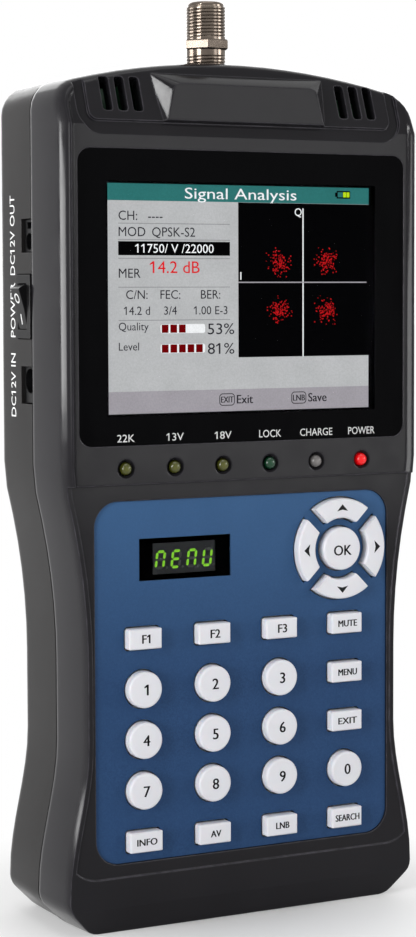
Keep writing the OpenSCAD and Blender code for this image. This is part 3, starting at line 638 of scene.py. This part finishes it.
RULES = (164.6, 160.9, 156.6, 150.0, 142.4)
PLOT_X = -0.86
PLOT_Z = 133.5
AXIS_X = 16.8
AXIS_Z = 151.1
AXIS_HALF = 0.16
LEVEL_HALF = 0.14
# Filled boxes: ink, layer, left, right, low, high
FILLS = (
    ("grey", 0, SCREEN_LEFT, SCREEN_RIGHT, FOOTER_Z, HEADER_Z),
    ("teal", 0, SCREEN_LEFT, SCREEN_RIGHT, HEADER_Z, SCREEN_HIGH),
    ("violet", 0, SCREEN_LEFT, SCREEN_RIGHT, SCREEN_LOW, FOOTER_Z),
    # Battery sign: case, tip, empty part and two full ones
    ("black", 1, 26.2, 30.0, 171.1, 172.9),
    ("black", 1, 25.75, 26.2, 171.5, 172.5),
    ("teal", 2, 26.5, 27.9, 171.4, 172.6),
    ("lime", 2, 28.0, 28.8, 171.4, 172.6),
    ("lime", 2, 28.95, 29.75, 171.4, 172.6),
    # Field behind the channel's figures
    ("black", 1, RULE_LEFT, RULE_RIGHT, 157.3, 160.5),
    # Plot, its upright and level axis, and the level axis's letter I
    ("black", 1, PLOT_X, SCREEN_RIGHT, PLOT_Z, HEADER_Z - 0.05),
    ("white", 2, AXIS_X - AXIS_HALF, AXIS_X + AXIS_HALF, PLOT_Z, 168.6),
    ("violet", 2, PLOT_X, SCREEN_RIGHT - 0.6, AXIS_Z - LEVEL_HALF, AXIS_Z + LEVEL_HALF),
    ("white", 2, -0.35, -0.05, 151.7, 153.5),
)
# Words: ink, words, x, z, height, width or None, align, layer
WORDS = (
    ("white", "Signal Analysis", 0, 171.7, 2.5, 30, 0.5, 1),
    ("text", "CH:", -32.2, 166.4, 2.1, None, 0.0, 2),
    ("text", "----", -24.6, 166.4, 2.1, None, 0.0, 2),
    ("text", "MOD", -32.2, 162.7, 2.1, None, 0.0, 2),
    ("text", "QPSK-S2", -23.6, 162.7, 2.1, None, 0.0, 2),
    ("white", "11750/ V /22000", -17.7, 158.9, 2.0, 20.5, 0.5, 2),
    ("text", "MER", -32.2, 153.2, 2.1, None, 0.0, 2),
    ("red", "14.2 dB", -24.2, 154.6, 2.7, 13, 0.0, 2),
    ("text", "C/N:", -27.6, 148.3, 2.0, None, 0.5, 2),
    ("text", "14.2 d", -27.6, 144.6, 1.9, None, 0.5, 2),
    ("text", "FEC:", -18.9, 148.3, 2.0, None, 0.5, 2),
    ("text", "3/4", -18.9, 144.6, 1.9, None, 0.5, 2),
    ("text", "BER:", -8.3, 148.3, 2.0, None, 0.5, 2),
    ("text", "1.00 E-3", -8.3, 144.6, 1.9, None, 0.5, 2),
    ("white", "Q", 14.5, 167.7, 1.8, None, 0.0, 2),
)
# Gauges: words, z, number of full blocks, share
GAUGES = (("Quality", 140.4, 3, "53%"), ("Level", 135.8, 5, "81%"))
GAUGE_LEFT = -21.5
GAUGE_RIGHT = -9.8
GAUGE_HALF = 1.05
GAUGE_R = 0.5
GAUGE_NAME_UP = 0.6
GAUGE_NAME_H = 1.8
SHARE_X = -9.1
SHARE_DOWN = 0.15
SHARE_H = 2.5
SHARE_W = 7.1
BLOCK_LEFT = -21.2
BLOCK_W = 1.75
BLOCK_STEP = 2.25
BLOCK_HALF = 0.95
# Middles of the plot's four clusters
CLUSTERS = ((10.1, 155.8), (23.3, 156.2), (10.4, 144.5), (23.3, 144.5))
DOTS = 140
DOT_SEED = 4
DOT_SPREAD = 1.35
DOT_REACH = 3.4
DOT_HALF = (0.07, 0.15)
# Key signs in the footer: x, key, meaning
FOOTER_KEYS = ((-3.98, "EXIT", "Exit"), (15.6, "LNB", "Save"))
SIGN_HALF_W = 2.08
SIGN_HALF_H = 1.45
SIGN_LINE = 0.2
SIGN_R = 0.9
SIGN_Z = 123.65
SIGN_WORD_H = 1.4
SIGN_WORD_W = 3.3
MEANING_RIGHT = 2.6
MEANING_H = 2.0
FOOTER_STRIKE = 0.1


def screen_layer(number):
    """Places a flat drawing on the screen, that many layers of print over its face."""
    return on_front(SCREEN_SHIFT, SCREEN_FACE - number * INK, 0)


def fill(mesh, ink, level, left, right, low, high):
    """A filled box in the picture."""
    prism(mesh, rectangle(left, right, low, high), screen_layer(level), INK, INK_INDEX[ink])


def say(mesh, ink, words, x, z, height, width=None, align=0.0, level=2, heavy=0.0):
    """Words in the picture."""
    spot = screen_layer(level) @ Matrix.Translation((x, z, 0))
    write(mesh, words, spot, height, width, align, INK_INDEX[ink], heavy)


def gauges(mesh):
    """Two bars of blocks, each with its name and share."""
    for words, z, blocks, share in GAUGES:
        say(mesh, "text", words, RULE_LEFT, z + GAUGE_NAME_UP, GAUGE_NAME_H)
        trough = rounded(GAUGE_LEFT, GAUGE_RIGHT, z - GAUGE_HALF, z + GAUGE_HALF, GAUGE_R)
        prism(mesh, trough, screen_layer(1), INK, INK_INDEX["white"])
        for i in range(blocks):
            left = BLOCK_LEFT + BLOCK_STEP * i
            fill(mesh, "maroon", 2, left, left + BLOCK_W, z - BLOCK_HALF, z + BLOCK_HALF)
        say(mesh, "text", share, SHARE_X, z - SHARE_DOWN, SHARE_H, SHARE_W)


def plot_dots(mesh):
    """Four scattered clusters of red dots."""
    scatter = random.Random(DOT_SEED)
    for cx, cz in CLUSTERS:
        for _ in range(DOTS):
            x = cx + max(-DOT_REACH, min(DOT_REACH, scatter.gauss(0, DOT_SPREAD)))
            z = cz + max(-DOT_REACH, min(DOT_REACH, scatter.gauss(0, DOT_SPREAD)))
            half = scatter.uniform(*DOT_HALF)
            fill(mesh, "dot", 2, x - half, x + half, z - half, z + half)


def footer_keys(mesh):
    """The footer's key signs, each a word in a rounded frame with its meaning beside it."""
    for x, key, meaning in FOOTER_KEYS:
        signs = []
        for inset in (0.0, SIGN_LINE):
            half_w = SIGN_HALF_W - inset
            half_h = SIGN_HALF_H - inset
            signs.append(rounded(x - half_w, x + half_w, SIGN_Z - half_h, SIGN_Z + half_h, SIGN_R - inset))
        frame_plate(mesh, signs[0], signs[1], screen_layer(1), INK, INK_INDEX["text"])
        say(mesh, "text", key, x, SIGN_Z, SIGN_WORD_H, SIGN_WORD_W, align=0.5, heavy=FOOTER_STRIKE)
        say(mesh, "text", meaning, x + MEANING_RIGHT, SIGN_Z, MEANING_H, heavy=FOOTER_STRIKE)


def screen_picture():
    """The lit picture: header, readings, gauges, the four-cluster plot and the footer, in thin layers."""
    mesh = bmesh.new()
    for box in FILLS:
        fill(mesh, *box)
    for z in RULES:
        fill(mesh, "line", 1, RULE_LEFT, RULE_RIGHT, z - RULE_HALF, z + RULE_HALF)
    for line in WORDS:
        say(mesh, *line)
    gauges(mesh)
    plot_dots(mesh)
    footer_keys(mesh)
    piece("screen_picture", mesh, list(SCREEN_INKS.values()), HOUSING)


# Four-digit display

# Each bar's side and level on the digit, in halves of its width and height
SEGMENTS = {
    "a": (0, 1),
    "b": (1, 0.5),
    "c": (1, -0.5),
    "d": (0, -1),
    "e": (-1, -0.5),
    "f": (-1, 0.5),
    "g": (0, 0),
}
# The lit bars of each digit
DIGITS = ("abcef", "adefg", "abcef", "bcdef")
DIGIT_H = 4.4
DIGIT_W = 2.6
DIGIT_LEAN = 0.13
DIGIT_DROP = 0.3
STROKE = 0.64
BAR_GAP = 0.13
BAR_POINT = 0.28
POINT_RIGHT = 0.75
POINT_HALF = 0.3
POINT_R = 0.29
LIT = glow("digit_lit", srgb(160, 240, 70), strength=1.5, cell_mm=0.3, depth=0.1)
UNLIT = moulded("digit_unlit", srgb(122, 124, 120), roughness=0.5, grain_mm=0.3, depth_mm=0.002)
BLOCK_FACE = moulded("block_face", srgb(84, 84, 86), roughness=0.5, grain_mm=0.3, depth_mm=0.002)
DISPLAY_INKS = [LIT, UNLIT, BLOCK_FACE]


def digit_shapes(mesh, centre, lit):
    """The seven bars and the point, which is unlit, of one leaning digit."""
    half_w = (DIGIT_W - STROKE) / 2
    half_h = (DIGIT_H - STROKE) / 2
    half = STROKE / 2
    for name, (side, level) in SEGMENTS.items():
        upright = abs(level) == 0.5
        reach = (half_h / 2 if upright else half_w) - BAR_GAP
        flat = reach - BAR_POINT
        bar = [(-reach, 0), (-flat, half), (flat, half), (reach, 0), (flat, -half), (-flat, -half)]
        turned = [(y, -x) if upright else (x, y) for x, y in bar]
        points = [(x + side * half_w, y + level * half_h) for x, y in turned]
        leaning = [(x + DIGIT_LEAN * y, y) for x, y in points]
        prism(mesh, leaning, centre, INK, DISPLAY_INKS.index(LIT if name in lit else UNLIT))
    spot = centre @ Matrix.Translation((half_w + POINT_RIGHT, -half_h, 0))
    point = rounded(-POINT_HALF, POINT_HALF, -POINT_HALF, POINT_HALF, POINT_R, steps=3)
    prism(mesh, point, spot, INK, DISPLAY_INKS.index(UNLIT))


def small_display():
    """Four digits on the grey face of the small display, and black print round it on the window's back."""
    low, high = box_mm("segment_display")
    face = rectangle(low.x, high.x, low.z, high.z)
    mesh = bmesh.new()
    prism(mesh, face, on_front(0, low.y, 0), INK, DISPLAY_INKS.index(BLOCK_FACE))
    pitch = (high.x - low.x) / len(DIGITS)
    digit_z = (low.z + high.z) / 2 - DIGIT_DROP
    for number, lit in enumerate(DIGITS):
        centre = on_front(low.x + pitch * (number + 0.5), low.y - INK, digit_z)
        digit_shapes(mesh, centre, lit)
    piece("small_display_digits", mesh, DISPLAY_INKS, HOUSING)
    low, high = box_mm("segment_window")
    mesh = bmesh.new()
    frame_plate(mesh, rectangle(low.x, high.x, low.z, high.z), face, on_front(0, high.y + 2 * INK, 0), INK)
    piece("small_display_print", mesh, [WINDOW_BLACK], HOUSING)


# Keys

F_KEYS = ("f1", "f2", "f3")
ARROWS = {"up": 0, "left": 90, "down": 180, "right": 270}
ARROW_MARK = [(-1.55, -0.8), (0, -0.45), (1.55, -0.8), (0, 0.85)]
ARROW_SHIFT = 0.8
DIGIT_LABEL = 2.5
F_LABEL = 2.0
OK_LABEL = 2.4
OK_WIDTH = 4.9
OK_DROP = 0.4
WORD_LABEL = 1.55
# Width of a word by its number of letters
WORD_WIDTH = {2: 2.7, 3: 3.6, 4: 5.2, 6: 6.7}
STRIKE = 0.14


def key_labels():
    """A printed word, number or arrowhead on each key, riding on that key."""
    for body in RECORD["behaviour"]["bodies"]:
        if not body.startswith("key_"):
            continue
        name = body[len("key_"):]
        low, high = box_mm(body)
        face = on_front((low.x + high.x) / 2, low.y, (low.z + high.z) / 2)
        mesh = bmesh.new()
        if name in ARROWS:
            turn = Matrix.Rotation(math.radians(ARROWS[name]), 4, "Z")
            prism(mesh, ARROW_MARK, face @ turn @ Matrix.Translation((0, ARROW_SHIFT, 0)), INK)
        elif name == "ok":
            lowered = face @ Matrix.Translation((0, -OK_DROP, 0))
            write(mesh, "OK", lowered, OK_LABEL, OK_WIDTH, heavy=STRIKE)
        elif name in F_KEYS:
            write(mesh, name.upper(), face, F_LABEL, heavy=STRIKE)
        elif name.isdigit():
            write(mesh, name, face, DIGIT_LABEL, heavy=STRIKE)
        else:
            write(mesh, name.upper(), face, WORD_LABEL, WORD_WIDTH[len(name)], heavy=STRIKE)
        piece(f"label_{name}", mesh, [BLACK_INK], body)


# F connector

BARREL_R = 4.7625
BARREL_STEPS = 48
THREAD_PITCH = 0.794
THREAD_DEPTH = 0.34
THREAD_STEPS = 10
# How narrow a groove is: 1 would make it as wide as the pitch
THREAD_NARROW = 2.6
# How far the thread goes down into the housing, and what it leaves plain at the collar and the tip
THREAD_DOWN = 3
THREAD_ABOVE = 0.3
THREAD_BELOW = 1.1
TIP_LEFT = 1.2
TIP_STEP = 0.35
TIP_R = 0.8
TIP_STEPS = 6
FOOT = 1
HEX_UP = 3.6
HEX_H = 2.5
HEX_CHAMFER = 0.35
# Turn of the collar here, nearer to the photograph's, and of the CAD collar, whose box gives its corners
HEX_TURN = 6
CAD_HEX_TURN = 15
# How much wider than the bore the collar's hole is, so that it ends inside the barrel's wall
COLLAR_IN = 0.8


def around(axis, z, radii, start=0.0):
    """Points about a vertical axis at equal angles from start, each as far out as its radius."""
    points = []
    for k, radius in enumerate(radii):
        angle = math.radians(start) + 2 * math.pi * k / len(radii)
        points.append((axis.x + radius * math.cos(angle), axis.y + radius * math.sin(angle), z))
    return points


def thread_cut(z, angle, spans):
    """How deep the helical thread is at a height and angle: full in the spans, faded at their ends."""
    for low, high in spans:
        if low <= z <= high:
            fade = min(1.0, (z - low) / THREAD_PITCH, (high - z) / THREAD_PITCH)
            phase = (z / THREAD_PITCH - angle / (2 * math.pi)) % 1.0
            return fade * THREAD_DEPTH * max(0.0, 1 - abs(2 * phase - 1) * THREAD_NARROW)
    return 0.0


def threaded(z, spans):
    """The barrel's radius at a height, all the way round."""
    return [BARREL_R - thread_cut(z, 2 * math.pi * k / BARREL_STEPS, spans) for k in range(BARREL_STEPS)]


def barrel_loops(axis, bore, low_z, high_z, body_top):
    """Loops of the barrel: its foot, the thread, the stepped and rounded tip, and back down its bore."""
    collar_z = body_top + HEX_UP
    thread_low = body_top - THREAD_DOWN
    thread_high = high_z - TIP_LEFT
    spans = ((collar_z + HEX_H + THREAD_ABOVE, thread_high), (thread_low, collar_z - THREAD_BELOW))
    heights = [low_z, low_z + FOOT]
    z = thread_low
    while z < thread_high:
        heights.append(z)
        z += THREAD_PITCH / THREAD_STEPS
    loops = [around(axis, z, threaded(z, spans)) for z in heights]
    tip = BARREL_R - TIP_STEP
    plain = [(tip, thread_high)]
    for step in range(TIP_STEPS + 1):
        angle = math.radians(90 * step / TIP_STEPS)
        plain.append((tip - TIP_R * (1 - math.cos(angle)), high_z - TIP_R + TIP_R * math.sin(angle)))
    plain += [(bore, high_z), (bore, low_z)]
    return loops + [around(axis, z, [radius] * BARREL_STEPS) for radius, z in plain]


def collar_loops(axis, corner, hole, collar_z):
    """Loops of the hexagon collar, chamfered at both ends, and back down its hole."""
    profile = ((corner - HEX_CHAMFER, 0), (corner, HEX_CHAMFER), (corner, HEX_H - HEX_CHAMFER),
               (corner - HEX_CHAMFER, HEX_H), (hole, HEX_H), (hole, 0))
    return [around(axis, collar_z + z, [radius] * 6, HEX_TURN) for radius, z in profile]


def f_connector():
    """Nickel barrel with a cut thread, hexagon collar and rounded tip, open for its insulator."""
    low, high = box_mm("f_connector")
    bore_low, bore_high = box_mm("f_insulator")
    body_top = box_mm("front_shell")[1].z
    axis = (bore_low + bore_high) / 2
    bore = (bore_high.x - bore_low.x) / 2
    corner = (high.x - low.x) / 2 / math.cos(math.radians(CAD_HEX_TURN))
    mesh = bmesh.new()
    skin(mesh, barrel_loops(axis, bore, low.z, high.z, body_top))
    barrel = smooth(piece("f_barrel", mesh, [FINISH["nickel"]], HOUSING), BARREL_ANGLE)
    mesh = bmesh.new()
    skin(mesh, collar_loops(axis, corner, bore + COLLAR_IN, body_top + HEX_UP))
    hexagon_collar = piece("f_collar", mesh, [FINISH["nickel"]], HOUSING)
    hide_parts("f_connector")
    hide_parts("f_connector")


# Side printing and the rocker's marks

# Captions: words, z, width
SIDE_WORDS = (("DC12V OUT", 162.3, 18.6), ("POWER", 144.8, 12.8), ("DC12V IN", 127.15, 14.9))
SIDE_Y = 9.8
SIDE_H = 2.7
RAY_ROOM = 5


def side_captions():
    """White captions on the rear shell's left side, reading upward, laid on its drafted face."""
    shell = frame["nodes"]["rear_shell"]
    tree = BVHTree.FromObject(shell, bpy.context.evaluated_depsgraph_get())
    out = box_mm("rear_shell")[0].x - RAY_ROOM
    mesh = bmesh.new()
    for words, z, width in SIDE_WORDS:
        write(mesh, words, Matrix.Translation((0, SIDE_Y, z)) @ READING_UP, SIDE_H, width)
    for vertex in mesh.verts:
        start = Vector((out, vertex.co.y, vertex.co.z)) * MM
        hit = tree.ray_cast(start, Vector((1, 0, 0)))[0]
        vertex.co.x += hit.x / MM
    piece("side_captions", mesh, [WHITE_INK], HOUSING)


# The rocker: its tilt at rest, how far its face stands out in the middle and at the ends, and its radius
ROCKER_TILT = 13
ROCKER_DIP = 2.1
ROCKER_CROWN = 2.4
ROCKER_R = 5.4
MARK_AWAY = 2.5
MARK_HALF = 1.2
RING_LINE = 0.35
RING_R = 1.19
BAR_HALF = 0.2


def rocker_marks():
    """A ring on the rocker's raised end and a line on its pressed end, in white."""
    joint = next(j for j in frame["joints"] if j["name"] == "rocker_pivot")
    pivot = Vector(joint["pos_m"]) / MM
    slope = math.atan2(ROCKER_CROWN - ROCKER_DIP, ROCKER_R)
    tilted = Matrix.Translation(pivot) @ Matrix.Rotation(math.radians(-ROCKER_TILT), 4, "Y")
    base = tilted @ Matrix.Translation((-ROCKER_DIP, 0, 0))
    mesh = bmesh.new()
    for side in (1, -1):
        face = base @ Matrix.Rotation(-side * slope, 4, "Y") @ READING_UP
        spot = face @ Matrix.Translation((side * MARK_AWAY, 0, 0))
        if side > 0:
            hole = MARK_HALF - RING_LINE
            outer = rounded(-MARK_HALF, MARK_HALF, -MARK_HALF, MARK_HALF, RING_R, steps=5)
            inner = rounded(-hole, hole, -hole, hole, RING_R - RING_LINE, steps=5)
            frame_plate(mesh, outer, inner, spot, INK)
        else:
            prism(mesh, rectangle(-MARK_HALF, MARK_HALF, -BAR_HALF, BAR_HALF), spot, INK)
    piece("rocker_marks", mesh, [WHITE_INK], "rocker")


# Stage, light and camera

FLOOR_HALF = 4.0
FLOOR_FADE = 0.09
WORLD_LIGHT = 0.17


def seen_directly(tree):
    """1 for what the camera, a mirror or glass looks at, and 0 for light that only falls on a surface."""
    path = tree.nodes.new("ShaderNodeLightPath")
    seen = path.outputs["Is Camera Ray"]
    for ray in ("Is Glossy Ray", "Is Transmission Ray"):
        both = tree.nodes.new("ShaderNodeMath")
        both.operation = "MAXIMUM"
        tree.links.new(seen, both.inputs[0])
        tree.links.new(path.outputs[ray], both.inputs[1])
        seen = both.outputs[0]
    return seen


def floor_material():
    """Pale matt floor that keeps the shadow near the object and runs out to plain white."""
    made, tree, shader = new_material("floor", roughness=0.7)
    where = place(tree)
    tone = spread(tree, noise(tree, where, 300, detail=3), srgb(240, 240, 240), srgb(246, 246, 246))
    tree.links.new(tone, shader.inputs["Base Color"])
    near = spherical(tree, where, (1 / FLOOR_FADE, 1 / FLOOR_FADE, 1 / FLOOR_FADE))
    away = ramp(tree, near, (0.0, 1.0), (0.75, 0.0))
    shown = tree.nodes.new("ShaderNodeMath")
    shown.operation = "MULTIPLY"
    tree.links.new(away, shown.inputs[0])
    tree.links.new(seen_directly(tree), shown.inputs[1])
    white = tree.nodes.new("ShaderNodeEmission")
    blend = tree.nodes.new("ShaderNodeMixShader")
    tree.links.new(shown.outputs[0], blend.inputs[0])
    tree.links.new(shader.outputs[0], blend.inputs[1])
    tree.links.new(white.outputs[0], blend.inputs[2])
    tree.links.new(blend.outputs[0], tree.nodes["Material Output"].inputs["Surface"])
    return made


def floor_plane():
    """The floor under the object's base."""
    mesh = bmesh.new()
    bmesh.ops.create_grid(mesh, x_segments=2, y_segments=2, size=FLOOR_HALF)
    data = bpy.data.meshes.new("floor")
    mesh.to_mesh(data)
    mesh.free()
    data.materials.append(floor_material())
    floor = bpy.data.objects.new("floor", data)
    floor.location.z = CAD_BOX[0][2]
    bpy.context.scene.collection.objects.link(floor)


def studio_world():
    """A world that is white to the eye and dim as light."""
    world = bpy.data.worlds.new("studio")
    world.use_nodes = True
    bpy.context.scene.world = world
    tree = world.node_tree
    strength = tree.nodes.new("ShaderNodeMapRange")
    strength.inputs["To Min"].default_value = WORLD_LIGHT
    strength.inputs["To Max"].default_value = 1.0
    tree.links.new(seen_directly(tree), strength.inputs["Value"])
    ground = tree.nodes["Background"]
    ground.inputs["Color"].default_value = (1, 1, 1, 1)
    tree.links.new(strength.outputs[0], ground.inputs["Strength"])


CENTRE = (0, 0, 0.11)
# Soft lamps: name, place, what it looks at, width and height, power
SOFTBOXES = (
    ("key_box", (-0.891, -0.454, 0.66), (0, 0, 0.19), (0.12, 0.12), 2.4),
    ("left_box", (-0.94, -0.342, 0.2), (0, 0, 0.15), (0.37, 0.32), 5.4),
    ("right_box", (0.848, -0.53, 0.36), CENTRE, (0.3, 0.3), 2.6),
    ("top_box", (0.0, -0.1, 0.9), CENTRE, (0.6, 0.4), 1.6),
    ("front_box", (0.48, -0.88, 0.27), (0, 0, 0.18), (0.3, 0.52), 1.35),
    ("back_box", (0.45, 0.9, 0.5), CENTRE, (1.2, 0.8), 6),
    ("rim_box", (-0.84, 0.545, 0.17), (0, 0, 0.15), (0.46, 0.26), 6.0),
)


def lights():
    """The rectangular soft lamps, each turned to what it looks at."""
    for name, spot, target, size, power in SOFTBOXES:
        lamp = bpy.data.lights.new(name, "AREA")
        lamp.shape = "RECTANGLE"
        lamp.size, lamp.size_y = size
        lamp.energy = power
        obj = bpy.data.objects.new(name, lamp)
        obj.location = spot
        obj.rotation_euler = (Vector(target) - Vector(spot)).to_track_quat("-Z", "Y").to_euler()
        bpy.context.scene.collection.objects.link(obj)


CAMERA_SPOT = (-0.2806, -0.51405, 0.14815)
CAMERA_TURN = -28.60
CAMERA_DIP = 4.10
CAMERA_ROLL = -0.20
CAMERA_LENS = 92.98
CAMERA_SENSOR = 36


def camera():
    """The camera at the photograph's viewing angle."""
    data = bpy.data.cameras.new("camera")
    data.sensor_width = CAMERA_SENSOR
    data.lens = CAMERA_LENS
    obj = bpy.data.objects.new("camera", data)
    bpy.context.scene.collection.objects.link(obj)
    turn = Matrix.Rotation(math.radians(CAMERA_TURN), 4, "Z")
    dip = Matrix.Rotation(math.radians(90 - CAMERA_DIP), 4, "X")
    roll = Matrix.Rotation(math.radians(CAMERA_ROLL), 4, "Z")
    obj.matrix_world = Matrix.Translation(CAMERA_SPOT) @ turn @ dip @ roll
    bpy.context.scene.camera = obj


bpy.context.scene.view_settings.view_transform = "Standard"
dress_nodes()
window_pieces()
lamp_captions()
screen_picture()
small_display()
key_labels()
f_connector()
side_captions()
rocker_marks()
floor_plane()
studio_world()
lights()
camera()
